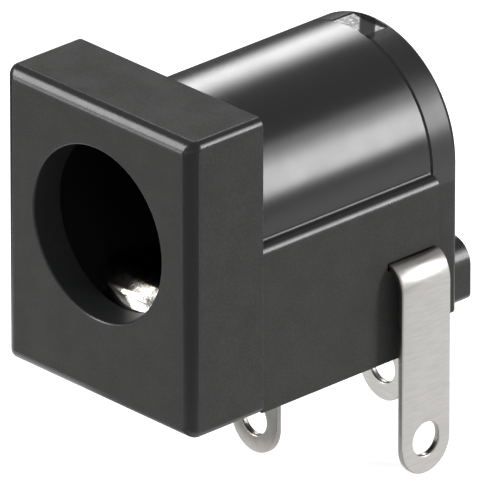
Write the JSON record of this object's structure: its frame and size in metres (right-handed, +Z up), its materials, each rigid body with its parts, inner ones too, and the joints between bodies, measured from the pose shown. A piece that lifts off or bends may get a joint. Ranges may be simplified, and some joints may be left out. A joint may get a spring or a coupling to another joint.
{
  "type": "board-mounted DC power socket",
  "caption": "Barrel power socket for a circuit board: square flange with a round mouth, barrel body with a square base, rear cover and plated solder tags with lead holes.",
  "frame": {"origin": "centre of the socket's mouth, on the flange's front face", "axes": "-Y out of the mouth towards the plug, +Z up away from the circuit board, +X to the right as seen from the front, where the side tag is"},
  "size_m": [0.0096, 0.0136, 0.0149],
  "materials": {
    "moulding": "satin black",
    "pin_plating": "bright nickel plating",
    "contact_plating": "satin tin plating"
  },
  "bodies": {
    "root": {"housing": "moulding", "rear_cover": "moulding", "centre_pin": "pin_plating", "centre_pin_terminal": "contact_plating", "sleeve_spring_terminal": "contact_plating", "switch_terminal": "contact_plating"}
  },
  "joints": []
}
